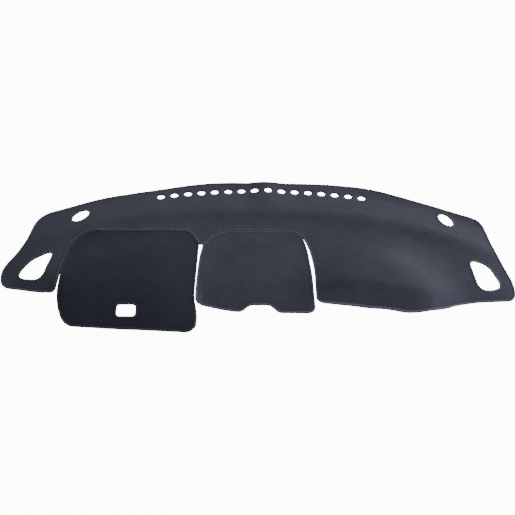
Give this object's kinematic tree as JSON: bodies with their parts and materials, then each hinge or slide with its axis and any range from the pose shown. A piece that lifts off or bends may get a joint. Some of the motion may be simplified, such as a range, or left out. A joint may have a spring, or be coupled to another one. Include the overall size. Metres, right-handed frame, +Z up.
{
  "type": "dashboard cover mat",
  "caption": "Moulded felt dashboard mat with bound edges: a long main panel with vents and corner holes, and two hanging flaps sewn into its front notch.",
  "frame": {"origin": "middle of the floor under the mat as it lies", "axes": "+X along the dashboard to the passenger side on the right, +Y towards the windscreen, +Z up"},
  "size_m": [1.4312, 0.5758, 0.0612],
  "materials": {
    "felt": "brushed felt, matt",
    "edge_tape": "woven tape, matt"
  },
  "bodies": {
    "root": {"main_panel": "felt", "instrument_flap": "felt", "centre_flap": "felt", "main_panel_binding": "edge_tape", "instrument_flap_binding": "edge_tape", "centre_flap_binding": "edge_tape", "sensor_window_binding": "edge_tape", "left_speaker_hole_binding": "edge_tape", "right_speaker_hole_binding": "edge_tape", "left_demister_hole_binding": "edge_tape", "right_demister_hole_binding": "edge_tape"}
  },
  "joints": []
}
